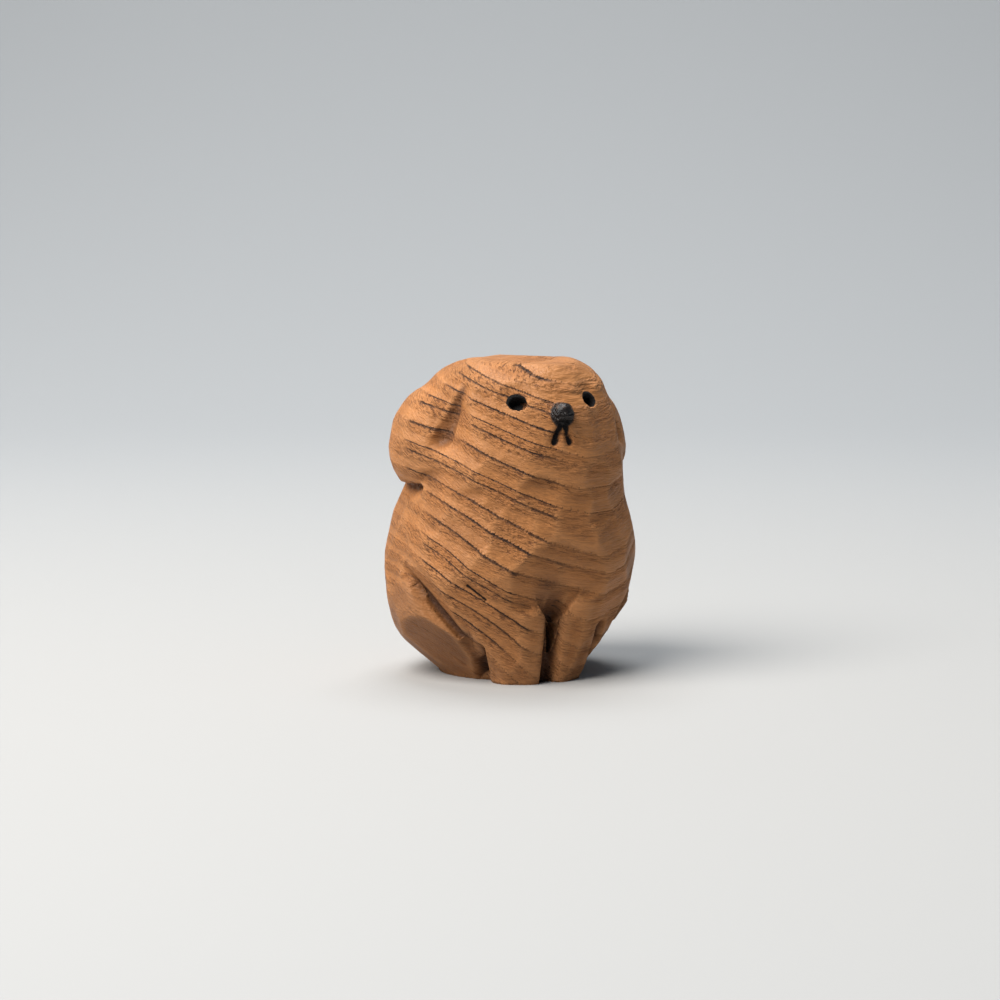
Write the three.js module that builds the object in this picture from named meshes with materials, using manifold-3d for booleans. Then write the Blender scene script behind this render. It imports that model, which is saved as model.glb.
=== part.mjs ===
// A seated puppy, whittled from one block of wood and left with its knife facets.
// Millimetres, +Z up. The dog looks along -Y and its left side is +X. It stands on z = 0.

import * as THREE from 'three';
import { mergeVertices } from 'three/addons/utils/BufferGeometryUtils.js';
import Module from 'manifold-3d';

// Whole figure. Its pose and proportions are laid out on a grid of fifty units to the height,
// so at the real size one grid unit is one millimetre.
const height = 50;
const unit = height / 50;

// Trunk
const trunkCentre = [0, -0.5, 17];
const trunkRadii = [19.4, 17.9, 18.9];
const trunkLean = 6;

// Head
const headCentre = [0, -3.3, 35.2];
const headRadii = [16.7, 14.5, 13.9];
const headLean = -7;
const throatFillet = 3.5;

// Ear
const earCentre = [-11.5, 0.8, 37.3];
const earRadii = [7.5, 8.2, 8.8];
const earTurn = [14, 22, -18];
const earLobeCentre = [-13.0, -0.9, 34.5];
const earLobeRadii = [6.1, 6.6, 4.9];

// Foreleg
const forelegCentre = [-4.3, -10.3, 5];
const forelegRadii = [4.6, 3.1, 12];
const forelegTurn = [17, 6, -45];
const legGap = 0.7;
const legGapTop = 2.6;

// Face
const eyeDiameter = 3.0;
const eyeDepth = 2.0;
const eyeAcross = 6.1;
const eyeLevel = 43.6;
const noseRadii = [1.75, 1.5, 1.7];
const noseLevel = 42.1;
const noseProud = 0.3;
const mouthWidth = 1.15;
const mouthDepth = 0.8;

// Knife work
const edgeSoftness = 0.3;
const facetScatter = 0.16;

// Mesh of the carved surface
const ballDetail = 18;

const radians = THREE.MathUtils.degToRad;
const vector = (values) => new THREE.Vector3(...values).multiplyScalar(unit);

// A direction, in degrees round from where the dog looks (its left is +90), tipped up or down
function heading(around, rise = 0) {
  const a = radians(around);
  const e = radians(rise);
  return new THREE.Vector3(Math.sin(a) * Math.cos(e), -Math.cos(a) * Math.cos(e), Math.sin(e));
}

// Repeatable scatter, so that the facets fall the same way each time
function scatter(seed) {
  let state = seed;
  return () => {
    state = (state * 16807) % 2147483647;
    return state / 2147483647;
  };
}

// The largest of several distances, worn round where two of them meet
function worn(distances, wear) {
  const top = Math.max(...distances);
  let sum = 0;
  for (const distance of distances) sum += Math.exp((distance - top) / wear);
  return top + wear * Math.log(sum);
}

// A block whittled flat: the wood behind every plane that touches a ball squared off in height,
// and behind any wider paring cuts. It is turned about X, then Y, then Z. The field is negative
// inside the wood.
function whittled({ centre, radii, squareness = 2, turn = [0, 0, 0], facets, seed, pared = [] }) {
  const random = scatter(seed);
  const dual = squareness / (squareness - 1);
  const goldenAngle = Math.PI * (3 - Math.sqrt(5));
  const rotation = new THREE.Euler(...turn.map(radians), 'ZYX');
  const middle = vector(centre);
  const [a, b, c] = vector(radii).toArray();
  const planes = pared.map(({ through, facing }) => [facing, facing.dot(vector(through))]);
  for (let i = 0; i < facets; i++) {
    const z = 1 - (2 * (i + 0.5)) / facets + (random() - 0.5) * facetScatter;
    const around = i * goldenAngle + (random() - 0.5) * facetScatter;
    const level = Math.sqrt(Math.max(0, 1 - z * z));
    const aim = new THREE.Vector3(level * Math.cos(around), level * Math.sin(around), z);
    const across = Math.hypot(a * aim.x, b * aim.y);
    const reach = (across ** dual + Math.abs(c * aim.z) ** dual) ** (1 / dual);
    aim.applyEuler(rotation);
    planes.push([aim, aim.dot(middle) + reach]);
  }
  return (x, y, z) => {
    const distances = planes.map(([aim, reach]) => aim.x * x + aim.y * y + aim.z * z - reach);
    return worn(distances, edgeSoftness * unit);
  };
}

// Two fields joined with a fillet of about the given size
function joined(a, b, fillet) {
  const size = fillet * unit;
  const near = Math.max(size - Math.abs(a - b), 0) / size;
  return Math.min(a, b) - (near * near * size) / 4;
}

// Wide cuts that draw the trunk in towards the small sole, each at its reach from the middle
function bevel(around, reach, level, rise) {
  const edge = heading(around).multiplyScalar(reach);
  return { through: [edge.x, edge.y, level], facing: heading(around, rise) };
}
const bevels = [
  bevel(0, 16.2, 14.5, -18),
  bevel(34, 17.4, 12, -19),
  bevel(-34, 17.4, 12, -19),
  bevel(62, 16.7, 7.6, -44),
  bevel(-62, 16.7, 7.6, -44),
  bevel(90, 16.6, 5.4, -50),
  bevel(-90, 16.6, 5.4, -50),
  bevel(122, 16.4, 5.4, -46),
  bevel(-122, 16.4, 5.4, -46),
  bevel(158, 17.0, 5.4, -46),
  bevel(-158, 17.0, 5.4, -46),
];
const trunk = whittled({
  centre: trunkCentre,
  radii: trunkRadii,
  squareness: 2.7,
  turn: [trunkLean, 0, 0],
  facets: 80,
  seed: 7,
  pared: bevels,
});

// Flat cuts round the head: one sloping in above the cheek, one below it
function cheekCuts(around) {
  const out = heading(around);
  const reach = Math.hypot(headRadii[0] * out.x, headRadii[1] * out.y);
  const cut = (share, level, rise) => ({
    through: [out.x * reach * share, headCentre[1] + out.y * reach * share, level],
    facing: heading(around, rise),
  });
  return [cut(0.9, 42.1, 17), cut(1, 33, -10)];
}
const head = whittled({
  centre: headCentre,
  radii: headRadii,
  squareness: 3.1,
  turn: [headLean, 0, 0],
  facets: 70,
  seed: 11,
  pared: [0, 30, 63, 100, 140, 180, -30, -63, -100, -140].flatMap(cheekCuts),
});
const muzzle = whittled({ centre: [0, -12.4, 40.2], radii: [6, 5.2, 4.6], facets: 36, seed: 4 });
const tail = whittled({
  centre: [0, 17.5, 8],
  radii: [2.8, 2.6, 6.5],
  turn: [12, 0, 0],
  facets: 30,
  seed: 15,
});

// One of each pair, on the dog's right
const ear = whittled({
  centre: earCentre,
  radii: earRadii,
  squareness: 2.2,
  turn: earTurn,
  facets: 44,
  seed: 5,
});
const earLobe = whittled({
  centre: earLobeCentre,
  radii: earLobeRadii,
  squareness: 2.3,
  turn: [0, 8, 0],
  facets: 36,
  seed: 6,
});
const foreleg = whittled({
  centre: forelegCentre,
  radii: forelegRadii,
  squareness: 3,
  turn: forelegTurn,
  facets: 40,
  seed: 9,
});

// Distance from the surface of the whole figure, before the crisp cuts
function wood(x, y, z) {
  const side = -Math.abs(x);
  let field = joined(trunk(x, y, z), head(x, y, z), throatFillet);
  field = joined(field, muzzle(x, y, z), 2.5);
  field = joined(field, foreleg(side, y, z), 1.5);
  const flap = joined(ear(side, y, z), earLobe(side, y, z), 2);
  field = joined(field, flap, 0.8);
  return joined(field, tail(x, y, z), 1.5);
}

// Where a straight line from outside first meets the wood
function meet(start, aim) {
  const point = start.clone();
  for (let step = 0; step < 120; step++) {
    const gap = wood(point.x, point.y, point.z);
    point.addScaledVector(aim, gap);
    if (Math.abs(gap) < 1e-5) break;
  }
  return point;
}

// The point of the front seen straight ahead, at one place across and one level
const forward = heading(0);
const frontAt = (x, z) => meet(vector([x, -40, z]), forward.clone().negate());

// A geodesic ball, each of its points pressed in from outside until it meets the wood.
// The lines start from a short upright spine, so that the tall figure is covered evenly.
function carvedSurface() {
  const ball = new THREE.IcosahedronGeometry(1, ballDetail);
  ball.deleteAttribute('normal');
  ball.deleteAttribute('uv');
  const skin = mergeVertices(ball);
  const points = skin.getAttribute('position');
  const spineMiddle = 25 * unit;
  const spineReach = 8 * unit;
  const outside = 40 * unit;
  for (let i = 0; i < points.count; i++) {
    const aim = new THREE.Vector3().fromBufferAttribute(points, i);
    const root = new THREE.Vector3(0, 0, spineMiddle + spineReach * aim.z);
    const point = meet(root.addScaledVector(aim, outside), aim.clone().negate());
    points.setXYZ(i, point.x, point.y, point.z);
  }
  return skin;
}

const wasm = await Module();
wasm.setup();

function solidOf(geometry) {
  const plain = geometry.clone();
  plain.deleteAttribute('normal');
  plain.deleteAttribute('uv');
  const merged = mergeVertices(plain);
  const mesh = new wasm.Mesh({
    numProp: 3,
    vertProperties: merged.getAttribute('position').array,
    triVerts: new Uint32Array(merged.index.array),
  });
  return new wasm.Manifold(mesh);
}

function geometryOf(solid) {
  const { vertProperties, triVerts } = solid.getMesh();
  const geometry = new THREE.BufferGeometry();
  geometry.setAttribute('position', new THREE.BufferAttribute(vertProperties, 3));
  geometry.setIndex(new THREE.BufferAttribute(triVerts, 1));
  return geometry;
}

// The chip that a knife lifts out between two cuts meeting along a line. Each cut leans away from
// the outward direction by its own angle, the first towards outward x along and the second away.
function chip({ from, to, out, leans, rise }) {
  const start = vector(from);
  const along = vector(to).sub(start);
  const length = along.length();
  along.normalize();
  const side = new THREE.Vector3().crossVectors(out, along).normalize();
  const up = new THREE.Vector3().crossVectors(along, side);
  const top = rise * unit;
  const [first, second] = leans.map((lean) => Math.tan(radians(lean)) * top);
  const section = new THREE.Shape([
    new THREE.Vector2(0, 0),
    new THREE.Vector2(first, top),
    new THREE.Vector2(-second, top),
  ]);
  const wedge = new THREE.ExtrudeGeometry(section, { depth: length, bevelEnabled: false });
  wedge.applyMatrix4(new THREE.Matrix4().makeBasis(side, up, along).setPosition(start));
  return wedge;
}

// The same shape on the other side of the dog, with each face turned round to point out again
function mirrored(geometry) {
  const other = geometry.index ? geometry.toNonIndexed() : geometry.clone();
  other.applyMatrix4(new THREE.Matrix4().makeScale(-1, 1, 1));
  const points = other.getAttribute('position');
  for (let i = 0; i < points.count; i += 3) {
    const second = new THREE.Vector3().fromBufferAttribute(points, i + 1);
    const third = new THREE.Vector3().fromBufferAttribute(points, i + 2);
    points.setXYZ(i + 1, third.x, third.y, third.z);
    points.setXYZ(i + 2, second.x, second.y, second.z);
  }
  return other;
}

// The long cut that frees the thigh from the flank
const thighCut = chip({
  from: [-19.3, -2.5, 18.2],
  to: [-11.2, -9.8, 5.8],
  out: heading(-68, -10),
  leans: [62, 27],
  rise: 12,
});

// The cut that goes on down between the hind foot and the foreleg
const footCut = chip({
  from: [-10.6, -8.6, 7.5],
  to: [-8.2, -6.6, -1],
  out: heading(-62),
  leans: [30, 35],
  rise: 12,
});

// The slanting cut along the front edge of the ear
const earEdgeCut = chip({
  from: [-12.4, -5.4, 46.6],
  to: [-15.0, -5.8, 37.2],
  out: heading(-75, 22),
  leans: [64, 15],
  rise: 5,
});

// The undercut below the ear
const underEarCut = chip({
  from: [-15.9, -4.6, 30.9],
  to: [-14.5, 8.0, 30.5],
  out: heading(-97, -6),
  leans: [46, 4],
  rise: 8,
});

// The eye socket, burnt straight in
const eyeHeading = heading(-29.5, 44);
const eyeAt = frontAt(-eyeAcross, eyeLevel);
const eyeRadius = (eyeDiameter / 2) * unit;
const socket = new THREE.CylinderGeometry(eyeRadius, eyeRadius, eyeDepth * 2 * unit, 28);
const upright = new THREE.Vector3(0, 1, 0);
socket.applyQuaternion(new THREE.Quaternion().setFromUnitVectors(upright, eyeHeading));
socket.translate(eyeAt.x, eyeAt.y, eyeAt.z);

// The slot between the forelegs, opening out at the top
const slotFoot = -1;
const slotSplay = 4.6;
const slotTop = 9.4;
const slotBack = -9;
const slotSection = new THREE.Shape(
  [
    [-legGap / 2, slotFoot],
    [legGap / 2, slotFoot],
    [legGap / 2, slotSplay],
    [legGapTop / 2, slotTop],
    [-legGapTop / 2, slotTop],
    [-legGap / 2, slotSplay],
  ].map(([x, z]) => new THREE.Vector2(x * unit, z * unit)),
);
const slot = new THREE.ExtrudeGeometry(slotSection, { depth: 20 * unit, bevelEnabled: false });
slot.rotateX(Math.PI / 2);
slot.translate(0, slotBack * unit, 0);

// The three-cornered hollow under the chest, between the tops of the forelegs
const hollowWidth = 10.4;
const hollowTop = 15.6;
const hollowFoot = 8.6;
const hollowSlope = Math.tan(radians(27));
const hollowMouth = new THREE.Shape(
  [
    [0, hollowFoot],
    [hollowWidth / 2, hollowTop],
    [0, hollowTop + 3],
    [-hollowWidth / 2, hollowTop],
  ].map(([x, z]) => new THREE.Vector2(x * unit, z * unit)),
);
const hollow = new THREE.ExtrudeGeometry(hollowMouth, { depth: 20 * unit, bevelEnabled: false });
hollow.rotateX(Math.PI / 2);
hollow.applyMatrix4(new THREE.Matrix4().makeShear(0, 0, 0, 0, 0, -hollowSlope));
hollow.translate(0, frontAt(0, hollowTop).y + hollowTop * hollowSlope * unit, 0);

// A stroke of the mouth, gouged from one point of the face to another
function stroke(a, b) {
  const [from, to] = [a, b].map(([x, z]) => {
    const foot = frontAt(x, z).addScaledVector(forward, -mouthDepth * unit);
    return foot.divideScalar(unit).toArray();
  });
  const lean = THREE.MathUtils.radToDeg(Math.atan(mouthWidth / 2 / mouthDepth));
  return chip({ from, to, out: forward, leans: [lean, lean], rise: 3 });
}
const mouth = [stroke([0, 40.2], [-1.6, 37.4]), stroke([0, 40.2], [1.6, 37.4])];

// The nose, a small knob left standing on the muzzle
const nose = new THREE.IcosahedronGeometry(1, 3);
nose.scale(...vector(noseRadii).toArray());
const noseAt = frontAt(0, noseLevel);
nose.translate(noseAt.x, noseAt.y - noseProud * unit, noseAt.z);

// Everything below z = 0 is sawn off flat
const saw = new THREE.BoxGeometry(height * 2, height * 2, height);
saw.translate(0, 0, -height / 2);

let dog = solidOf(carvedSurface()).add(solidOf(nose));
for (const cut of [thighCut, footCut, earEdgeCut, underEarCut, socket]) {
  dog = dog.subtract(solidOf(cut)).subtract(solidOf(mirrored(cut)));
}
for (const cut of [slot, hollow, ...mouth, saw]) {
  dog = dog.subtract(solidOf(cut));
}

// The finished figure, with the middle of its outline over the origin
const carving = geometryOf(dog);
carving.computeBoundingBox();
const middle = carving.boundingBox.getCenter(new THREE.Vector3());
carving.translate(-middle.x, -middle.y, 0);
carving.computeVertexNormals();

const woodFinish = new THREE.MeshStandardMaterial({
  color: 0xa8693c,
  roughness: 0.75,
  metalness: 0,
});
const dogMesh = new THREE.Mesh(carving, woodFinish);
dogMesh.name = 'dog';

const figure = new THREE.Group();
figure.add(dogMesh);

export default figure;
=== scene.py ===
import math

import bpy
import numpy as np
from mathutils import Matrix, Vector, noise


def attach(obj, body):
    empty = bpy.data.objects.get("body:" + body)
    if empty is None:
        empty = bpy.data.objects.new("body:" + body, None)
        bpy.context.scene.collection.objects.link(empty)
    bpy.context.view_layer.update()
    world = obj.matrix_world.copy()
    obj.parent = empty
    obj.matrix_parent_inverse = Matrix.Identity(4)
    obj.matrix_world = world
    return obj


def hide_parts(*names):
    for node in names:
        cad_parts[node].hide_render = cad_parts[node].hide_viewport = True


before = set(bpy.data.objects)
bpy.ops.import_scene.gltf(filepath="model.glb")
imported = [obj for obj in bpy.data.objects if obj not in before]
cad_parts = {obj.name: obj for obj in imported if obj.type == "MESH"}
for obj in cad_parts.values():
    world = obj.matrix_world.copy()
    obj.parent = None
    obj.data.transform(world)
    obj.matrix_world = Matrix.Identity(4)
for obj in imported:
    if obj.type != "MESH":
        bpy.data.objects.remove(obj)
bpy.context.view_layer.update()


# Camera
# A long lens stands before the dog, towards its right shoulder and a little above its
# head, and looks seven degrees down at it.
view_turn = math.radians(-27)
view_tip = math.radians(83)
camera_data = bpy.data.cameras.new("camera")
camera_data.lens = 102.5
camera_data.sensor_width = 36
camera_data.clip_start = 0.02
camera = bpy.data.objects.new("camera", camera_data)
camera.location = (-0.20268, -0.39491, 0.08142)
camera.rotation_euler = (view_tip, 0, view_turn)
bpy.context.scene.collection.objects.link(camera)
bpy.context.scene.camera = camera

# The paper and the wood keep their own colours, with no film look over them.
bpy.context.scene.view_settings.view_transform = "Standard"


# Floor and backdrop
# One wide sheet of pale matt paper. It lies flat under the dog and rises behind it in
# one long bend, so that the floor runs into the background without an edge.
paper_width = 7.0
paper_front = -3.0
paper_bend_start = 0.38
paper_bend_radius = 1.1
paper_rise = 2.2
# The paper is painted lighter near the dog and greyer further off: a painted pool of light.
paper_light_pool_colour = (0.406, 0.399, 0.388, 1)
paper_beyond_light_colour = (0.366, 0.369, 0.370, 1)
light_pool_inner_edge = 0.03
light_pool_outer_edge = 0.42
paper_roughness = 0.9
paper_specular = 0.2
paper_steps = 180

bpy.ops.object.select_all(action="DESELECT")
bpy.ops.mesh.primitive_grid_add(x_subdivisions=2, y_subdivisions=paper_steps, size=1)
paper = bpy.context.object
paper.name = "paper"
bend_length = paper_bend_radius * math.pi / 2
paper_length = paper_bend_start - paper_front + bend_length + paper_rise
for vertex in paper.data.vertices:
    along = paper_front + (vertex.co.y + 0.5) * paper_length
    vertex.co.x *= paper_width
    if along < paper_bend_start:
        vertex.co.y = along
        vertex.co.z = 0
    elif along < paper_bend_start + bend_length:
        turn = (along - paper_bend_start) / paper_bend_radius
        vertex.co.y = paper_bend_start + paper_bend_radius * math.sin(turn)
        vertex.co.z = paper_bend_radius * (1 - math.cos(turn))
    else:
        vertex.co.y = paper_bend_start + paper_bend_radius
        vertex.co.z = paper_bend_radius + along - paper_bend_start - bend_length
bpy.ops.object.shade_smooth()
paper.rotation_euler = (0, 0, view_turn)
bpy.ops.object.transform_apply(location=False, rotation=True, scale=False)
paper_material = bpy.data.materials.new("paper")
paper_material.use_nodes = True
paper_shader = paper_material.node_tree.nodes["Principled BSDF"]
# Painted pool of light: the colour fades from the light one to the grey one with distance from the
# paper's origin, under the dog.
paper_place = paper_material.node_tree.nodes.new("ShaderNodeTexCoord")
paper_distance = paper_material.node_tree.nodes.new("ShaderNodeVectorMath")
paper_distance.operation = "LENGTH"
paper_light_pool_fade = paper_material.node_tree.nodes.new("ShaderNodeMapRange")
paper_light_pool_fade.interpolation_type = "SMOOTHSTEP"
paper_light_pool_fade.inputs["From Min"].default_value = light_pool_inner_edge
paper_light_pool_fade.inputs["From Max"].default_value = light_pool_outer_edge
paper_light_pool_mix = paper_material.node_tree.nodes.new("ShaderNodeMix")
paper_light_pool_mix.data_type = "RGBA"
paper_light_pool_mix.inputs[6].default_value = paper_light_pool_colour
paper_light_pool_mix.inputs[7].default_value = paper_beyond_light_colour
paper_links = paper_material.node_tree.links
paper_links.new(paper_place.outputs["Object"], paper_distance.inputs[0])
paper_links.new(paper_distance.outputs["Value"], paper_light_pool_fade.inputs["Value"])
paper_links.new(paper_light_pool_fade.outputs["Result"], paper_light_pool_mix.inputs[0])
paper_links.new(paper_light_pool_mix.outputs[2], paper_shader.inputs["Base Color"])
paper_shader.inputs["Roughness"].default_value = paper_roughness
paper_shader.inputs["Specular IOR Level"].default_value = paper_specular
paper.data.materials.append(paper_material)


# Lights
# A soft window-like lamp stands high on the left and a weaker, cooler one hangs above
# and behind the dog. A third one lights the far paper, and the room adds a faint blue.
room_colour = (0.54, 0.77, 1.0, 1)
room_strength = 0.185
dog_middle = (0, 0, 0.025)


def soft_lamp(name, place, aim, width, power, colour):
    """An area lamp at a place, turned towards a point."""
    data = bpy.data.lights.new(name, "AREA")
    data.shape = "DISK"
    data.size = width
    data.energy = power
    data.color = colour
    lamp = bpy.data.objects.new(name, data)
    lamp.location = place
    lamp.rotation_mode = "QUATERNION"
    lamp.rotation_quaternion = (Vector(place) - Vector(aim)).to_track_quat("Z", "Y")
    bpy.context.scene.collection.objects.link(lamp)


soft_lamp(
    "window",
    place=(-0.525, -0.14, 0.67),
    aim=dog_middle,
    width=0.68,
    power=13.8,
    colour=(1.0, 0.97, 0.93),
)
soft_lamp(
    "overhead",
    place=(0.08, 0.24, 0.84),
    aim=dog_middle,
    width=0.6,
    power=4.2,
    colour=(0.90, 0.95, 1.0),
)
soft_lamp(
    "backdrop",
    place=(0.17, 0.33, 0.95),
    aim=(0.5, 0.98, 0.40),
    width=0.7,
    power=6.2,
    colour=(0.98, 0.99, 1.0),
)
world = bpy.data.worlds.new("room")
world.use_nodes = True
world.node_tree.nodes["Background"].inputs["Color"].default_value = room_colour
world.node_tree.nodes["Background"].inputs["Strength"].default_value = room_strength
bpy.context.scene.world = world


# Dog
# One piece of ring-porous timber, whittled in broad facets and left from the knife.
# The soft part of each growth ring is torn and low, the hard part is smooth and proud.
# The eyes, the nose and the mouth are blackened. All sizes here are in millimetres.
mesh_step = 0.32
smoothing_rounds = 3
fibre = np.array([-0.947, -0.319, 0.035])
pith = np.array([0.0, 12.5, -9.1])
ring_count = 32
ring_start = -2.0
fair_year = 2.2
poor_year = 1.1
good_year = 3.0
poor_years = [16, 21, 24, 27]
good_years = [17, 18, 20, 22, 23]
ring_waver = 0.3
lines_face = np.array([-0.6, -0.8])
line_depth = 0.05
torn_depth = 0.018
torn_roughness = 0.036
eye_places = [(-6.15, -14.6, 43.6), (6.0, -14.6, 43.6)]
eye_radius = 1.72
eye_height_share = 0.6
eye_width_share = 0.9
burnt_height_share = 0.78
nose_place = (-0.1, 41.9)
nose_radius = 1.9
nose_lump_depth = 0.2
mouth_cuts = [
    [(-0.1, -18.6, 40.2), (-1.75, -18.6, 37.4)],
    [(-0.1, -18.6, 40.2), (1.5, -18.6, 37.4)],
]
face_front = -18.2
mouth_marks = [
    [(-0.55, 40.2), (-1.4, 37.7), 0.44],
    [(0.35, 40.0), (1.15, 37.6), 0.34],
    [(-0.5, 40.8), (0.45, 40.8), 0.40],
]
mark_sunk = 0.3
mark_depth = 0.5
ear_top = np.array([-12.05, -8.4, 46.54])
ear_rear = np.array([-17.3, -6.1, 37.1])
ear_front = np.array([-14.9, -9.9, 37.6])
ear_step = 1.6
old_ear_edge = [(-12.6, -5.9, 46.6), (-15.1, -6.2, 36.8)]
ear_edge_share = 0.45
ear_cheek_share = 2.7
ear_reach = 9
ear_edge_painted_shade = 0.62
brow_filling = [(-9.6, -4.0, 46.6), (-8.8, 5.0, 46.8)]
brow_fill = 0.75
throat_level = 32.2
throat_fill = 0.5
thigh_crease = [(-19.2, -3.4, 18.0), (-11.5, -10.5, 6.2)]
thigh_below = np.array([-0.45, 0.60, -0.65])
thigh_crease_depth = 0.75
thigh_crease_painted_shade = 1.1
thigh_darkness = 0.54
thigh_middle = np.array([-15.0, -4.0, 8.0])
foot_recess = {
    1: [(-11.0, -10.8, 5.6), (-9.9, -9.4, 3.0), (-8.3, -7.3, 0.3)],
    -1: [(-8.8, -13.3, 8.0), (-8.0, -12.6, 4.4), (-7.2, -10.6, 0.3)],
}
foot_crease = [(-14.4, -4.7, 5.4), (-10.6, -5.7, 2.4)]
foot_edge = [(-16.1, 0.4, 5.1), (-13.8, -9.0, 7.6)]
foot_lean = (-0.70, -0.20, -0.68)
legs_gap_across = -0.12
legs_valley = 1.3
foot_recess_depth = 1.9
foot_crease_depth = 0.3
foot_crease_painted_shade = 0.5
foot_darkness = 0.28
under_chest = [(-0.3, -14.2, 10.0), (-1.5, -15.8, 15.0)]
chest_painted_shade = 0.7
crack = [(-14.06, -13.73, 16.12), (-11.31, -14.64, 13.76)]
crack_width = 0.12
lip_tear = [(2.85, -18.17, 39.27), (4.73, -17.91, 37.79)]
lip_tear_depth = 0.3
knife_facets = 120
knife_bite = 0.17
knife_ripple = 0.03
lowest_facet = 3
sole_level = 0.35
block_middle = np.array([0, 0, 24])
face_middle = np.array([-0.1, -18, 41])
face_clear = 8

fibre /= np.linalg.norm(fibre)
outward = np.array([0.0, -0.6, 0.8])
outward -= (outward @ fibre) * fibre
outward /= np.linalg.norm(outward)
crosswise = np.cross(outward, fibre)

# The carved form is copied, closed up and given a fine even mesh with worn edges.
dog = bpy.data.objects.new("carved_dog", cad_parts["dog"].data.copy())
bpy.context.scene.collection.objects.link(dog)
bpy.ops.object.select_all(action="DESELECT")
dog.select_set(True)
bpy.context.view_layer.objects.active = dog
bpy.ops.object.mode_set(mode="EDIT")
bpy.ops.mesh.select_all(action="SELECT")
bpy.ops.mesh.remove_doubles(threshold=0.000002)
bpy.ops.object.mode_set(mode="OBJECT")
remesh = dog.modifiers.new("even mesh", "REMESH")
remesh.mode = "VOXEL"
remesh.voxel_size = mesh_step / 1000
bpy.ops.object.modifier_apply(modifier=remesh.name)
smooth = dog.modifiers.new("worn edges", "SMOOTH")
smooth.factor = 0.5
smooth.iterations = smoothing_rounds
bpy.ops.object.modifier_apply(modifier=smooth.name)
bpy.ops.object.shade_smooth()

dog_mesh = dog.data
dog_points = np.empty(len(dog_mesh.vertices) * 3)
dog_mesh.vertices.foreach_get("co", dog_points)
dog_points = dog_points.reshape(-1, 3) * 1000
dog_edges = np.empty(len(dog_mesh.edges) * 2, dtype=np.int64)
dog_mesh.edges.foreach_get("vertices", dog_edges)
dog_edges = dog_edges.reshape(-1, 2)


def averaged(values, rounds):
    """The values after each point has taken the mean of its neighbours, several times."""
    ends = np.concatenate([dog_edges[:, 0], dog_edges[:, 1]])
    others = np.concatenate([dog_edges[:, 1], dog_edges[:, 0]])
    counts = np.bincount(ends, minlength=len(values))
    for _ in range(rounds):
        sums = [
            np.bincount(ends, weights=values[others, axis], minlength=len(values))
            for axis in range(3)
        ]
        values = np.stack(sums, axis=1) / counts[:, None]
    return values


def from_line(points, start, end):
    """How far each point is from the line between two points."""
    start = np.array(start)
    run = np.array(end) - start
    share = np.clip((points - start) @ run / (run @ run), 0, 1)
    return np.linalg.norm(points - start - share[:, None] * run, axis=1)


def along_skin(points, start, end):
    """A line between two points, laid on the mesh in six short runs."""
    shares = np.linspace(0, 1, 7)[:, None]
    stops = np.array(start) * (1 - shares) + np.array(end) * shares
    return [points[np.argmin(np.linalg.norm(points - stop, axis=1))] for stop in stops]


def from_lines(points, stops):
    """How far each point is from a line that runs through several stops."""
    return np.min([from_line(points, *ends) for ends in zip(stops, stops[1:])], axis=0)


def rough(points, scales, seed):
    """Smooth noise from -1 to 1 whose lumps have the given sizes along, across, outward."""
    stretched = points / np.array(scales) + seed
    return np.array([noise.noise(Vector(point)) for point in stretched])


def ramp(values, low, high):
    """A soft step from 0 at low to 1 at high."""
    share = np.clip((values - low) / (high - low), 0, 1)
    return share * share * (3 - 2 * share)


def normals_of(points):
    """The outward direction at every point once the mesh has these points."""
    dog_mesh.vertices.foreach_set("co", (points / 1000).ravel())
    dog_mesh.update()
    directions = np.empty(points.size)
    dog_mesh.vertex_normals.foreach_get("vector", directions)
    return directions.reshape(-1, 3)


# The old edge of each ear, the top of the thigh and the first strokes of the mouth
# are rounded away.
for side in (1, -1):
    side_points = dog_points * np.array([side, 1, 1])
    rounded = 1 - ramp(from_line(side_points, *old_ear_edge), 1.7, 3.4)
    dog_points = dog_points + rounded[:, None] * (averaged(dog_points, 45) - dog_points)
    side_points = dog_points * np.array([side, 1, 1])
    from_start = np.linalg.norm(side_points - np.array(thigh_crease[0]), axis=1)
    rounded = 1 - ramp(from_start, 0.7, 2.2)
    dog_points = dog_points + rounded[:, None] * (averaged(dog_points, 14) - dog_points)
for start, end in mouth_cuts:
    rounded = 1 - ramp(from_line(dog_points, start, end), 0.9, 1.5)
    dog_points = dog_points + rounded[:, None] * (averaged(dog_points, 30) - dog_points)

# The top of the head runs over into the ears with hardly a dip.
dog_normals = normals_of(dog_points)
broad_normals = averaged(dog_normals, 30)
for side in (1, -1):
    filled = 1 - ramp(from_line(dog_points * np.array([side, 1, 1]), *brow_filling), 0.5, 5.5)
    dog_points = dog_points + brow_fill * filled[:, None] * broad_normals

# The throat runs over into the chest in front.
throat = np.exp(-(((dog_points[:, 2] - throat_level) / 2.6) ** 2))
throat *= ramp(-broad_normals[:, 1], 0.35, 0.85)
dog_points = dog_points + throat_fill * throat[:, None] * broad_normals

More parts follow.
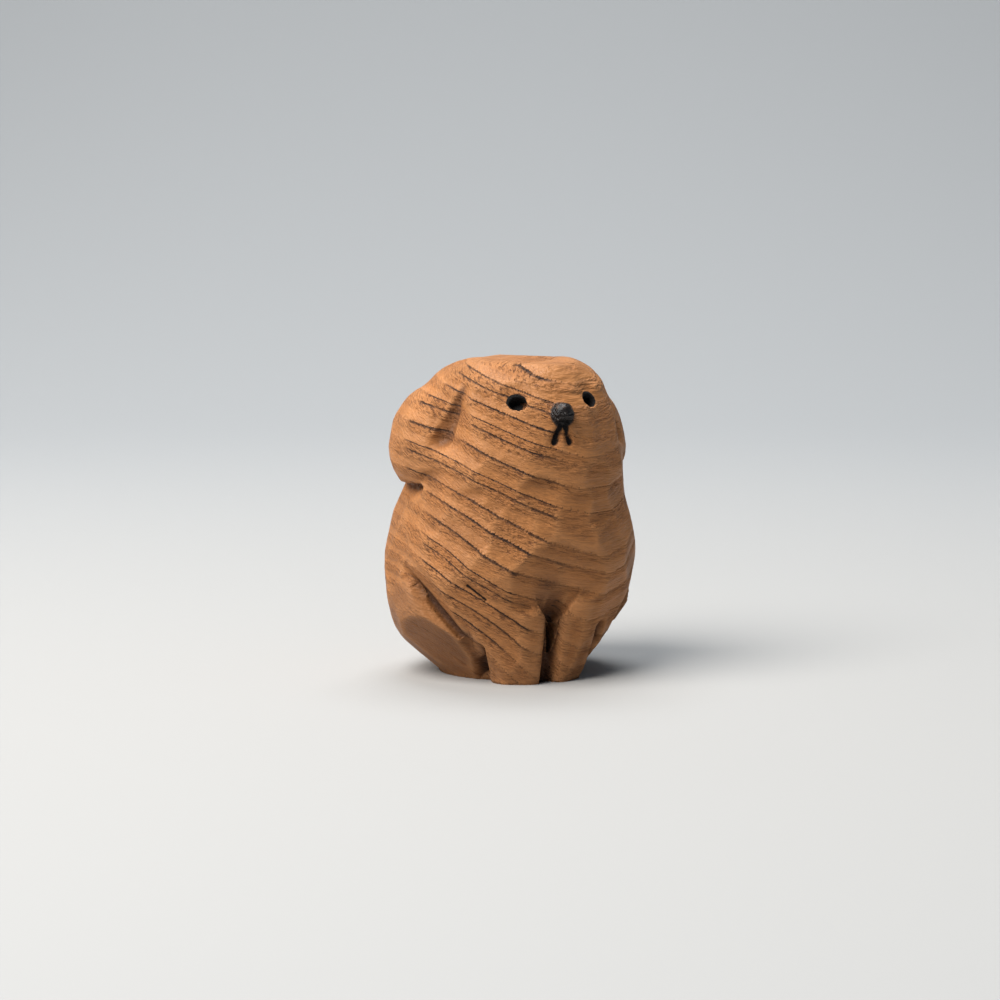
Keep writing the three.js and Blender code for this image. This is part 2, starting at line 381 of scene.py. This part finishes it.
# Flat strokes of the knife lie all over the block, wherever it bulges.
dog_normals = normals_of(dog_points)
broad_normals = averaged(dog_normals, 30)
broad_normals /= np.linalg.norm(broad_normals, axis=1)[:, None]
for facet in range(knife_facets):
    rise = 1 - 2 * (facet + 0.5) / knife_facets
    turn = facet * math.pi * (3 - math.sqrt(5))
    level_share = math.sqrt(1 - rise * rise)
    aim = np.array([level_share * math.cos(turn), level_share * math.sin(turn), rise])
    from_middle = dog_points - block_middle
    off_aim = np.linalg.norm(np.cross(from_middle, aim), axis=1)
    seat = np.argmax(from_middle @ aim - 0.4 * off_aim)
    from_face = np.linalg.norm(dog_points[seat] - face_middle)
    if dog_points[seat, 2] < lowest_facet or from_face < face_clear:
        continue
    lean = broad_normals[seat]
    above = (dog_points - dog_points[seat]) @ lean + knife_bite
    aside = np.linalg.norm(dog_points - dog_points[seat], axis=1)
    above = np.maximum(above, 0) * (1 - ramp(aside, 4.0, 5.5)) * (above < 1)
    dog_points = dog_points - above[:, None] * lean

# Each ear stands proud of the cheek: its front edge is one slanting facet that
# widens downwards, and the cheek rises again from the crease at its foot.
dog_normals = normals_of(dog_points)
# Creases and recesses are darkened, partly as dirt and mostly as painted shade.
crease_dirt_and_shade = np.zeros(len(dog_points))
sink = np.zeros(len(dog_points))
for side in (1, -1):
    side_points = dog_points * np.array([side, 1, 1])
    down = (ear_rear + ear_front) / 2 - ear_top
    over = (ear_front - ear_rear) / np.linalg.norm(ear_front - ear_rear)
    from_top = side_points - ear_top
    fall = from_top @ down / (down @ down)
    width = np.maximum(fall, 0.3) * np.linalg.norm(ear_front - ear_rear)
    step = (from_top @ over - fall * ((ear_rear - ear_top) @ over)) / width
    ear_middle = (ear_top + ear_rear + ear_front) / 3
    facing_side = np.linalg.norm(side_points - ear_middle, axis=1) < ear_reach
    share = np.where(
        step < ear_edge_share,
        ramp(step, 0, ear_edge_share),
        1 - ramp(step, ear_edge_share, ear_cheek_share),
    )
    share = share * ramp(fall, -0.05, 0.45) * (1 - ramp(fall, 0.85, 1.25)) * facing_side
    sink += ear_step * share
    # The ear's front edge is painted dark along its step: painted shade.
    edge_shade = ramp(step, 0, 0.2) * (1 - ramp(step, 0.45, 1.0)) * facing_side
    crease_dirt_and_shade += ear_edge_painted_shade * edge_shade * ramp(fall, -0.02, 0.1) * (1 - ramp(fall, 0.35, 1.0))

    # The thigh ends in a sharp crease, the foot in a deep one beside the foreleg.
    away = from_lines(side_points, along_skin(side_points, *thigh_crease))
    fading = 1 - 0.8 * ramp(dog_points[:, 2], 14, 17.5)
    sink += thigh_crease_depth * fading * (1 - ramp(away, 0.25, 1.1))
    # Just above the thigh crease the wood is painted dark: painted shade on the crease's wall.
    away = from_lines(side_points + 0.6 * thigh_below, along_skin(side_points, *thigh_crease))
    crease_dirt_and_shade += thigh_crease_painted_shade * fading * (1 - ramp(away, 0.7, 1.5))
    away = from_lines(side_points, [np.array(stop) for stop in foot_recess[side]])
    sink = np.maximum(sink, foot_recess_depth * (1 - ramp(away, 0.4, 1.7)))
    # The foot recess and the foot crease are painted dark: painted shade.
    crease_dirt_and_shade = np.maximum(crease_dirt_and_shade, 1 - ramp(away, 0.7, 1.8))
    crease = 1 - ramp(from_line(side_points, *foot_crease), 0.1, 0.7)
    sink += foot_crease_depth * crease
    crease_dirt_and_shade += foot_crease_painted_shade * crease
dog_points = dog_points - dog_normals * sink[:, None]
for side in (1, -1):
    side_points = dog_points * np.array([side, 1, 1])
    edge_run = np.array(foot_edge[1]) - np.array(foot_edge[0])
    edge_run /= np.linalg.norm(edge_run)
    lean = np.array(foot_lean) - (np.array(foot_lean) @ edge_run) * edge_run
    lean /= np.linalg.norm(lean)
    above = np.maximum((side_points - np.array(foot_edge[0])) @ lean, 0)
    above *= ramp(side_points[:, 1], -9.6, -8.0) * (1 - ramp(side_points[:, 1], 2, 5))
    above *= 1 - ramp(side_points[:, 0], -7, -4)
    dog_points = dog_points - above[:, None] * lean * np.array([side, 1, 1])

# The forelegs are rounded towards each other, into a valley with the slot at its foot.
valley = 1 - ramp(np.abs(dog_points[:, 0] - legs_gap_across), 0.4, 2.0)
valley *= (1 - ramp(dog_points[:, 2], 10.5, 15)) * ramp(-dog_normals[:, 1], 0.1, 0.6)
valley *= ramp(-dog_points[:, 1], 9, 11)
dog_points[:, 1] += legs_valley * valley

# The eye holes are a little wider than they are high.
for centre in eye_places:
    offset = dog_points - np.array(centre)
    near_eye = 1 - ramp(np.linalg.norm(offset, axis=1), 2.0, 3.4)
    dog_points[:, 2] -= near_eye * (1 - eye_height_share) * offset[:, 2]
    dog_points[:, 0] -= near_eye * (1 - eye_width_share) * offset[:, 0]

# Each growth ring is a shell round the pith, a little wavy, so that its line runs on
# over all the figure. Most years grew alike, a few were poor and a few were good.
dog_normals = normals_of(dog_points)
grain_points = np.stack([dog_points @ fibre, dog_points @ crosswise, dog_points @ outward], axis=1)
from_pith = dog_points - pith
from_pith -= (from_pith @ fibre)[:, None] * fibre
ring_radius = np.linalg.norm(from_pith, axis=1) + ring_waver * rough(grain_points, (14, 9, 9), 3.7)
year_widths = np.full(ring_count, fair_year)
year_widths[poor_years] = poor_year
year_widths[good_years] = good_year
ring_radii = ring_start + np.cumsum(year_widths)
ring_number = np.interp(ring_radius, ring_radii, np.arange(ring_count)[::-1])
ring_share = ring_number % 1
next_line = np.interp(np.ceil(ring_number), np.arange(ring_count), ring_radii[::-1])
this_line = np.interp(np.floor(ring_number), np.arange(ring_count), ring_radii[::-1])
ring_width = this_line - next_line
below_line = ring_share * ring_width

# The lines show where the knife crossed the fibres, and fade where it ran along them.
broad_normals = averaged(dog_normals, 25)
level_reach = np.hypot(broad_normals[:, 0], broad_normals[:, 1])
facing = broad_normals[:, :2] @ lines_face / np.maximum(level_reach, 0.35)
facing = np.where(facing < 0, -0.96 * facing, facing)
line_show = ramp(facing + 0.05 * rough(grain_points, (6, 3, 3), 31.0), 0.75, 0.9)
line_show *= ramp(dog_points[:, 2], 3.5, 8.0)
line_show *= 1 - ramp(dog_points[:, 0], 0.0, 2.0) * (1 - ramp(dog_points[:, 2], 14, 18))

# The thighs were cut with one clean stroke each, so their wood is hardly torn. Their cut faces are
# also made darker than the rest, on both sides.
clean_cut = np.zeros(len(dog_points))
for side in (1, -1):
    side_points = dog_points * np.array([side, 1, 1])
    below_crease = (side_points - np.array(thigh_crease[0])) @ thigh_below
    on_thigh = 1 - ramp(np.linalg.norm(side_points - thigh_middle, axis=1), 7.5, 10.5)
    clean_cut += ramp(below_crease, -0.5, 0.1) * on_thigh
line_show *= 1 - 0.75 * clean_cut

soft_reach = 1.25 + 0.45 * rough(grain_points, (9, 5, 5), 41.0)
soft_wood = 1 - ramp(below_line, 0.45 * soft_reach, 1.45 * soft_reach)
soft_wood *= 1 - 0.8 * clean_cut
line_groove = np.exp(-((below_line / 0.2) ** 2))
torn = rough(grain_points, (3.4, 1.5, 0.5), 11.3)
torn += 0.6 * rough(grain_points, (2.0, 1.1, 0.4), 5.1)

# Edges that stand proud are worn and pale. Hollows are darkened, partly as dirt and partly as
# painted shade.
near_mean = averaged(dog_points, 10)
far_mean = averaged(near_mean, 70)
edge_wear = np.clip(np.sum((dog_points - near_mean) * dog_normals, axis=1) / 0.05, 0, 1)
dirt_and_painted_shade = np.clip(-np.sum((dog_points - far_mean) * dog_normals, axis=1) / 1.1, 0, 1)
# The slot between the forelegs is painted dark: painted shade.
between_legs_painted_shade = 1 - ramp(np.abs(dog_points[:, 0] - legs_gap_across), 0.45, 1.7)
between_legs_painted_shade *= 1 - ramp(dog_points[:, 2], 9.5, 11.5)
dirt_and_painted_shade = np.maximum(dirt_and_painted_shade, np.clip(crease_dirt_and_shade, 0, 1))
dirt_and_painted_shade = np.maximum(dirt_and_painted_shade, between_legs_painted_shade)
# The figure is also made darker towards the bottom.
dirt_and_painted_shade = np.maximum(dirt_and_painted_shade, foot_darkness * (1 - ramp(dog_points[:, 2], 1, 9)))
# Under the chest, above the slot, a soft patch is painted dark: painted shade.
chest_shade_mask = 1 - ramp(from_line(dog_points, *under_chest), 0.8, 4.2)
dirt_and_painted_shade = np.maximum(dirt_and_painted_shade, chest_painted_shade * chest_shade_mask)
# The thighs' cut faces are made darker.
dirt_and_painted_shade = np.maximum(dirt_and_painted_shade, thigh_darkness * clean_cut)

depth = line_depth * line_groove * line_show
depth += torn_depth * soft_wood * (0.3 + 0.7 * line_show)
depth += torn_roughness * soft_wood * torn * (0.35 + 0.65 * line_show)
depth += knife_ripple * rough(grain_points, (5, 1.1, 1.1), 21.9)


def near_front(across, level, reach):
    """The frontmost point of the face around a place seen from the front."""
    aside = np.hypot(dog_points[:, 0] - across, dog_points[:, 2] - level)
    return dog_points[aside < reach, 1].min()


nose_centre = np.array([nose_place[0], near_front(*nose_place, 1.2) + 1.6, nose_place[1]])
nose_mask = 1 - ramp(np.linalg.norm(dog_points - nose_centre, axis=1), 1.7, 2.2)
depth = depth * (1 - nose_mask)
depth += nose_mask * nose_lump_depth * rough(dog_points, (0.8, 0.8, 0.8), 8.2)


def below_skin(point):
    """The place a little below the mesh nearest to a point."""
    nearest = np.argmin(np.linalg.norm(dog_points - np.array(point), axis=1))
    return dog_points[nearest] - mark_sunk * dog_normals[nearest]


marks = []
for (start_across, start_level), (end_across, end_level), width in mouth_marks:
    start = below_skin((start_across, face_front, start_level))
    end = below_skin((end_across, face_front, end_level))
    marks.append((start, end, width))
# The crack is sunk and painted black: painted shade inside the crack.
marks.append((below_skin(crack[0]), below_skin(crack[1]), crack_width))
for start, end, width in marks:
    depth += mark_depth * (1 - ramp(from_line(dog_points, start, end), width, width + 0.4))
tear = from_line(dog_points, below_skin(lip_tear[0]), below_skin(lip_tear[1]))
depth += lip_tear_depth * (1 - ramp(tear, 0.2, 0.8))

dog_points = dog_points - dog_normals * np.maximum(depth, -0.08)[:, None]
on_sole = dog_points[:, 2] < sole_level
dog_points[on_sole, 2] = 0
dog_points[:, 2] = np.maximum(dog_points[:, 2], 0)
dog_mesh.vertices.foreach_set("co", (dog_points / 1000).ravel())
for name, values in (
    ("ring", ring_number),
    ("soft_wood", soft_wood),
    ("line_show", line_show),
    ("edge_wear", edge_wear),
    ("dirt_and_painted_shade", dirt_and_painted_shade),
):
    attribute = dog_mesh.attributes.new(name, "FLOAT", "POINT")
    attribute.data.foreach_set("value", values.astype(np.float32))
dog_mesh.update()

hard_wood_colour = (0.388, 0.156, 0.048, 1)
soft_wood_colour = (0.360, 0.141, 0.043, 1)
line_colour = (0.026, 0.010, 0.005, 1)
burnt_colour = (0.004, 0.003, 0.003, 1)
nose_colour = (0.009, 0.006, 0.005, 1)
worn_nose_colour = (0.045, 0.032, 0.027, 1)
dirt_and_shade_colour = (0.040, 0.014, 0.007, 1)
worn_wood_colour = (0.55, 0.25, 0.095, 1)
pore_colour = (0.10, 0.034, 0.013, 1)
dirt_and_shade_strength = 0.88
wear_strength = 0.3
pore_strength = 0.66
wood_specular = 0.33
nose_roughness = 0.34
burnt_roughness = 0.97
fine_relief = 0.22
line_relief = -1.0
pore_relief = -0.8
streak_relief = 0.7
torn_relief = 3.1


def add_node(tree, kind, label, **settings):
    """A new node of a kind in a tree, with its settings."""
    made = tree.nodes.new(kind)
    made.label = label
    for key, value in settings.items():
        setattr(made, key, value)
    return made


def math_node(tree, label, operation, first, second=None, third=None):
    """A Math node fed by sockets or plain numbers."""
    made = add_node(tree, "ShaderNodeMath", label, operation=operation)
    for socket, value in zip(made.inputs, (first, second, third)):
        if isinstance(value, (int, float)):
            socket.default_value = value
        elif value is not None:
            tree.links.new(value, socket)
    return made.outputs["Value"]


def stretched_noise(tree, label, vector, scales, detail, roughness=0.5):
    """Noise whose lumps have the given sizes in millimetres."""
    scaled = add_node(tree, "ShaderNodeVectorMath", label + " size", operation="MULTIPLY")
    scaled.inputs[1].default_value = [1 / size for size in scales]
    tree.links.new(vector, scaled.inputs[0])
    made = add_node(tree, "ShaderNodeTexNoise", label)
    made.inputs["Scale"].default_value = 1
    made.inputs["Detail"].default_value = detail
    made.inputs["Roughness"].default_value = roughness
    tree.links.new(scaled.outputs["Vector"], made.inputs["Vector"])
    return made.outputs["Fac"]


def ramped(tree, label, value, low, high, start=0.0, end=1.0):
    """A value carried from low..high to start..end, held at both ends."""
    made = add_node(tree, "ShaderNodeMapRange", label, interpolation_type="SMOOTHSTEP")
    made.inputs["From Min"].default_value = low
    made.inputs["From Max"].default_value = high
    made.inputs["To Min"].default_value = start
    made.inputs["To Max"].default_value = end
    tree.links.new(value, made.inputs["Value"])
    return made.outputs["Result"]


def mixed(tree, label, factor, first, second):
    """Two colours mixed by a factor. Each is a socket or a plain colour."""
    made = add_node(tree, "ShaderNodeMix", label, data_type="RGBA")
    sockets = (made.inputs[0], made.inputs[6], made.inputs[7])
    for socket, value in zip(sockets, (factor, first, second)):
        if isinstance(value, tuple):
            socket.default_value = value
        else:
            tree.links.new(value, socket)
    return made.outputs[2]


def blended(tree, label, factor, first, second):
    """A value between the first and a plain second one, by a factor."""
    made = add_node(tree, "ShaderNodeMix", label, data_type="FLOAT")
    tree.links.new(factor, made.inputs[0])
    tree.links.new(first, made.inputs[2])
    made.inputs[3].default_value = second
    return made.outputs[0]


# The grain group gives the place in millimetres, plainly and along the fibres.
grain_group = bpy.data.node_groups.new("grain", "ShaderNodeTree")
grain_group.interface.new_socket("Place", in_out="OUTPUT", socket_type="NodeSocketVector")
grain_group.interface.new_socket("Grain", in_out="OUTPUT", socket_type="NodeSocketVector")
grain_out = grain_group.nodes.new("NodeGroupOutput")
coordinate = add_node(grain_group, "ShaderNodeTexCoord", "place on the dog")
millimetres = add_node(grain_group, "ShaderNodeVectorMath", "millimetres", operation="SCALE")
millimetres.inputs["Scale"].default_value = 1000
grain_group.links.new(coordinate.outputs["Object"], millimetres.inputs[0])
grain_group.links.new(millimetres.outputs["Vector"], grain_out.inputs["Place"])
combined = add_node(grain_group, "ShaderNodeCombineXYZ", "along, across, outward")
for socket, direction in zip(combined.inputs, (fibre, crosswise, outward)):
    dot = add_node(grain_group, "ShaderNodeVectorMath", "share", operation="DOT_PRODUCT")
    dot.inputs[1].default_value = direction
    grain_group.links.new(millimetres.outputs["Vector"], dot.inputs[0])
    grain_group.links.new(dot.outputs["Value"], socket)
grain_group.links.new(combined.outputs["Vector"], grain_out.inputs["Grain"])

# The stroke group marks a line between two points with soft ends and a wavering edge.
stroke_group = bpy.data.node_groups.new("stroke", "ShaderNodeTree")
for name in ("Place", "From", "To"):
    stroke_group.interface.new_socket(name, in_out="INPUT", socket_type="NodeSocketVector")
for name in ("Inner", "Outer"):
    stroke_group.interface.new_socket(name, in_out="INPUT", socket_type="NodeSocketFloat")
stroke_group.interface.new_socket("Mask", in_out="OUTPUT", socket_type="NodeSocketFloat")
stroke_in = stroke_group.nodes.new("NodeGroupInput")
stroke_out = stroke_group.nodes.new("NodeGroupOutput")
run = add_node(stroke_group, "ShaderNodeVectorMath", "run", operation="SUBTRACT")
stroke_group.links.new(stroke_in.outputs["To"], run.inputs[0])
stroke_group.links.new(stroke_in.outputs["From"], run.inputs[1])
reach = add_node(stroke_group, "ShaderNodeVectorMath", "reach", operation="SUBTRACT")
stroke_group.links.new(stroke_in.outputs["Place"], reach.inputs[0])
stroke_group.links.new(stroke_in.outputs["From"], reach.inputs[1])
reach_dot = add_node(stroke_group, "ShaderNodeVectorMath", "reach on run", operation="DOT_PRODUCT")
stroke_group.links.new(reach.outputs["Vector"], reach_dot.inputs[0])
stroke_group.links.new(run.outputs["Vector"], reach_dot.inputs[1])
run_dot = add_node(stroke_group, "ShaderNodeVectorMath", "run squared", operation="DOT_PRODUCT")
stroke_group.links.new(run.outputs["Vector"], run_dot.inputs[0])
stroke_group.links.new(run.outputs["Vector"], run_dot.inputs[1])
run_share = add_node(stroke_group, "ShaderNodeMath", "share", operation="DIVIDE", use_clamp=True)
stroke_group.links.new(reach_dot.outputs["Value"], run_share.inputs[0])
stroke_group.links.new(run_dot.outputs["Value"], run_share.inputs[1])
foot = add_node(stroke_group, "ShaderNodeVectorMath", "foot", operation="MULTIPLY_ADD")
stroke_group.links.new(run.outputs["Vector"], foot.inputs[0])
stroke_group.links.new(run_share.outputs["Value"], foot.inputs[1])
stroke_group.links.new(stroke_in.outputs["From"], foot.inputs[2])
gap = add_node(stroke_group, "ShaderNodeVectorMath", "distance", operation="DISTANCE")
stroke_group.links.new(stroke_in.outputs["Place"], gap.inputs[0])
stroke_group.links.new(foot.outputs["Vector"], gap.inputs[1])
waver = stretched_noise(stroke_group, "waver", stroke_in.outputs["Place"], (0.7, 0.7, 0.7), 2)
wavering = add_node(stroke_group, "ShaderNodeMath", "wavering edge", operation="MULTIPLY_ADD")
stroke_group.links.new(waver, wavering.inputs[0])
wavering.inputs[1].default_value = 0.35
stroke_group.links.new(gap.outputs["Value"], wavering.inputs[2])
fade = add_node(stroke_group, "ShaderNodeMapRange", "fade", interpolation_type="SMOOTHSTEP")
stroke_group.links.new(wavering.outputs["Value"], fade.inputs["Value"])
stroke_group.links.new(stroke_in.outputs["Inner"], fade.inputs["From Min"])
stroke_group.links.new(stroke_in.outputs["Outer"], fade.inputs["From Max"])
fade.inputs["To Min"].default_value = 1
fade.inputs["To Max"].default_value = 0
stroke_group.links.new(fade.outputs["Result"], stroke_out.inputs["Mask"])


def stroke_mask(tree, label, place, start, end, inner, outer):
    """A mask that is 1 along a line between two points."""
    made = add_node(tree, "ShaderNodeGroup", label, node_tree=stroke_group)
    made.inputs["From"].default_value = start
    made.inputs["To"].default_value = end
    made.inputs["Inner"].default_value = inner
    made.inputs["Outer"].default_value = outer
    tree.links.new(place, made.inputs["Place"])
    return made.outputs["Mask"]


wood = bpy.data.materials.new("wood")
wood.use_nodes = True
tree = wood.node_tree
shader = tree.nodes["Principled BSDF"]
grain_node = add_node(tree, "ShaderNodeGroup", "grain", node_tree=grain_group)
place = grain_node.outputs["Place"]
grain = grain_node.outputs["Grain"]

# The ring's number comes from the mesh, and its edge wavers with the torn fibres.
ring_value = add_node(tree, "ShaderNodeAttribute", "ring number", attribute_name="ring")
fine_waver = stretched_noise(tree, "fine waver", grain, (2.6, 0.35, 0.35), 2, 0.55)
ring_jitter = math_node(tree, "jitter", "MULTIPLY_ADD", fine_waver, 0.14, -0.07)
ring_shifted = math_node(tree, "shifted ring", "ADD", ring_value.outputs["Fac"], ring_jitter)
ring_fraction = math_node(tree, "share of the ring", "FRACT", ring_shifted)
ring_whole = math_node(tree, "which ring", "FLOOR", ring_shifted)
ring_chance = add_node(tree, "ShaderNodeTexWhiteNoise", "ring by ring", noise_dimensions="1D")
tree.links.new(ring_whole, ring_chance.inputs["W"])

line_mask = add_node(tree, "ShaderNodeValToRGB", "pore line")
line_levels = ((0.0, 1.0), (0.07, 0.95), (0.12, 0.2), (0.19, 0.0), (0.985, 0.0), (1.0, 0.6))
for position, level in line_levels:
    if position in (0.0, 1.0):
        stop = line_mask.color_ramp.elements[0 if position == 0.0 else -1]
    else:
        stop = line_mask.color_ramp.elements.new(position)
    stop.color = (level, level, level, 1)
tree.links.new(ring_fraction, line_mask.inputs["Fac"])
line_break = stretched_noise(tree, "breaks in the line", grain, (3.2, 1.4, 1.4), 2)
line_break = ramped(tree, "line strength", line_break, 0.32, 0.5, 0.62, 1.0)
line_amount = math_node(tree, "broken line", "MULTIPLY", line_mask.outputs["Color"], line_break)
ring_strength = ramped(tree, "ring strength", ring_chance.outputs["Value"], 0, 1, 0.8, 1.0)
line_amount = math_node(tree, "line amount", "MULTIPLY", line_amount, ring_strength)
line_show_value = add_node(
    tree, "ShaderNodeAttribute", "where lines show", attribute_name="line_show"
)
line_amount = math_node(tree, "shown lines", "MULTIPLY", line_amount, line_show_value.outputs["Fac"])

soft_value = add_node(tree, "ShaderNodeAttribute", "soft wood", attribute_name="soft_wood")
soft_mask = soft_value.outputs["Fac"]
pore_noise = stretched_noise(tree, "pores", grain, (2.4, 0.9, 0.22), 1, 0.5)
pore_mask = ramped(tree, "pore strokes", pore_noise, 0.585, 0.65)
pore_amount = math_node(tree, "pores in soft wood", "MULTIPLY", pore_mask, soft_mask)
pore_show = ramped(tree, "where pores show", line_show_value.outputs["Fac"], 0, 1, 0.45, 1.0)
pore_amount = math_node(tree, "shown pores", "MULTIPLY", pore_amount, pore_show)
streak_noise = stretched_noise(tree, "fibre streaks", grain, (6.0, 0.6, 0.18), 3, 0.6)
patch_noise = stretched_noise(tree, "patches", grain, (11.0, 6.0, 6.0), 3, 0.55)

# Colours: hard and soft wood, streaks and patches, dirt with painted shade, wear, pores and lines.
colour = mixed(tree, "ring colour", soft_mask, hard_wood_colour, soft_wood_colour)
streak_tone = ramped(tree, "streak tone", streak_noise, 0.3, 0.7, 0.86, 1.12)
patch_tone = ramped(tree, "patch tone", patch_noise, 0.3, 0.7, 0.87, 1.12)
tone = math_node(tree, "tone", "MULTIPLY", streak_tone, patch_tone)
toned = add_node(tree, "ShaderNodeVectorMath", "toned wood", operation="SCALE")
tree.links.new(colour, toned.inputs[0])
tree.links.new(tone, toned.inputs["Scale"])
# Dirt and painted shade: hollows, creases, the foreleg slot, under the chest, the thighs and the
# lower part are darkened.
dirt = add_node(tree, "ShaderNodeAttribute", "dirt and painted shade", attribute_name="dirt_and_painted_shade")
dirt_and_shade_amount = math_node(tree, "dirt and shade amount", "MULTIPLY", dirt.outputs["Fac"], dirt_and_shade_strength)
colour = mixed(tree, "dirt and painted shade mix", dirt_and_shade_amount, toned.outputs["Vector"], dirt_and_shade_colour)
wear = add_node(tree, "ShaderNodeAttribute", "edge wear", attribute_name="edge_wear")
wear_amount = math_node(tree, "wear amount", "MULTIPLY", wear.outputs["Fac"], wear_strength)
colour = mixed(tree, "worn edges", wear_amount, colour, worn_wood_colour)
pore_colour_amount = math_node(tree, "pore darkness", "MULTIPLY", pore_amount, pore_strength)
colour = mixed(tree, "pores", pore_colour_amount, colour, pore_colour)
colour = mixed(tree, "ring lines", line_amount, colour, line_colour)

# Blackened places: the eyes, the nose, the mouth. The crack is painted black as well, as painted
# shade.
dark_masks = []
eye_stretch = (1 / eye_width_share, 1.0, 1 / burnt_height_share)
flattened = add_node(tree, "ShaderNodeVectorMath", "flattened eyes", operation="MULTIPLY")
flattened.inputs[1].default_value = eye_stretch
tree.links.new(place, flattened.inputs[0])
eye_space = flattened.outputs["Vector"]
for centre in eye_places:
    flat_centre = [part * scale for part, scale in zip(centre, eye_stretch)]
    inner = eye_radius + 0.1
    outer = eye_radius + 0.3
    mask = stroke_mask(tree, "eye", eye_space, flat_centre, flat_centre, inner, outer)
    dark_masks.append(mask)
for start, end, width in marks:
    mask = stroke_mask(tree, "mark", place, start, end, width + 0.15, width + 0.42)
    dark_masks.append(mask)
burnt_and_crack_shade = dark_masks[0]
for mask in dark_masks[1:]:
    burnt_and_crack_shade = math_node(tree, "burnt_and_crack_shade", "MAXIMUM", burnt_and_crack_shade, mask)
nose_point = tuple(nose_centre)
inner = nose_radius + 0.1
outer = nose_radius + 0.5
nose_amount = stroke_mask(tree, "nose", place, nose_point, nose_point, inner, outer)
nose_lumps = stretched_noise(tree, "nose lumps", place, (0.6, 0.6, 0.6), 3)
nose_wear = ramped(tree, "nose wear", nose_lumps, 0.5, 0.8)
nose_tone = mixed(tree, "nose colour", nose_wear, nose_colour, worn_nose_colour)
colour = mixed(tree, "nose", nose_amount, colour, nose_tone)
colour = mixed(tree, "burnt marks", burnt_and_crack_shade, colour, burnt_colour)
tree.links.new(colour, shader.inputs["Base Color"])

# Gloss: smooth hard wood shines softly, torn wood and burnt marks are dull.
ring_gloss = ramped(tree, "ring gloss", soft_mask, 0, 1, 0.46, 0.66)
gloss = math_node(tree, "streaky gloss", "MULTIPLY_ADD", streak_noise, 0.16, ring_gloss)
gloss = blended(tree, "nose gloss", nose_amount, gloss, nose_roughness)
gloss = blended(tree, "burnt dullness", burnt_and_crack_shade, gloss, burnt_roughness)
tree.links.new(gloss, shader.inputs["Roughness"])
shader.inputs["Specular IOR Level"].default_value = wood_specular

# Fine relief: lines and pores sink in, streaks and torn fibres stand up.
line_height = math_node(tree, "line height", "MULTIPLY", line_amount, line_relief)
height = math_node(tree, "pore height", "MULTIPLY_ADD", pore_amount, pore_relief, line_height)
height = math_node(tree, "streak height", "MULTIPLY_ADD", streak_noise, streak_relief, height)
torn_noise = stretched_noise(tree, "torn fibres", grain, (3.0, 1.0, 0.28), 2, 0.55)
torn_share = ramped(tree, "torn share", soft_mask, 0, 1, 0.35, 1.0)
torn_soft = math_node(tree, "torn in soft wood", "MULTIPLY", torn_noise, torn_share)
height = math_node(tree, "torn height", "MULTIPLY_ADD", torn_soft, torn_relief, height)
bump = add_node(tree, "ShaderNodeBump", "fine relief")
bump.inputs["Strength"].default_value = 1.0
bump.inputs["Distance"].default_value = fine_relief / 1000
tree.links.new(height, bump.inputs["Height"])
tree.links.new(bump.outputs["Normal"], shader.inputs["Normal"])

dog_mesh.materials.clear()
dog_mesh.materials.append(wood)
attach(dog, "root")
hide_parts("dog")
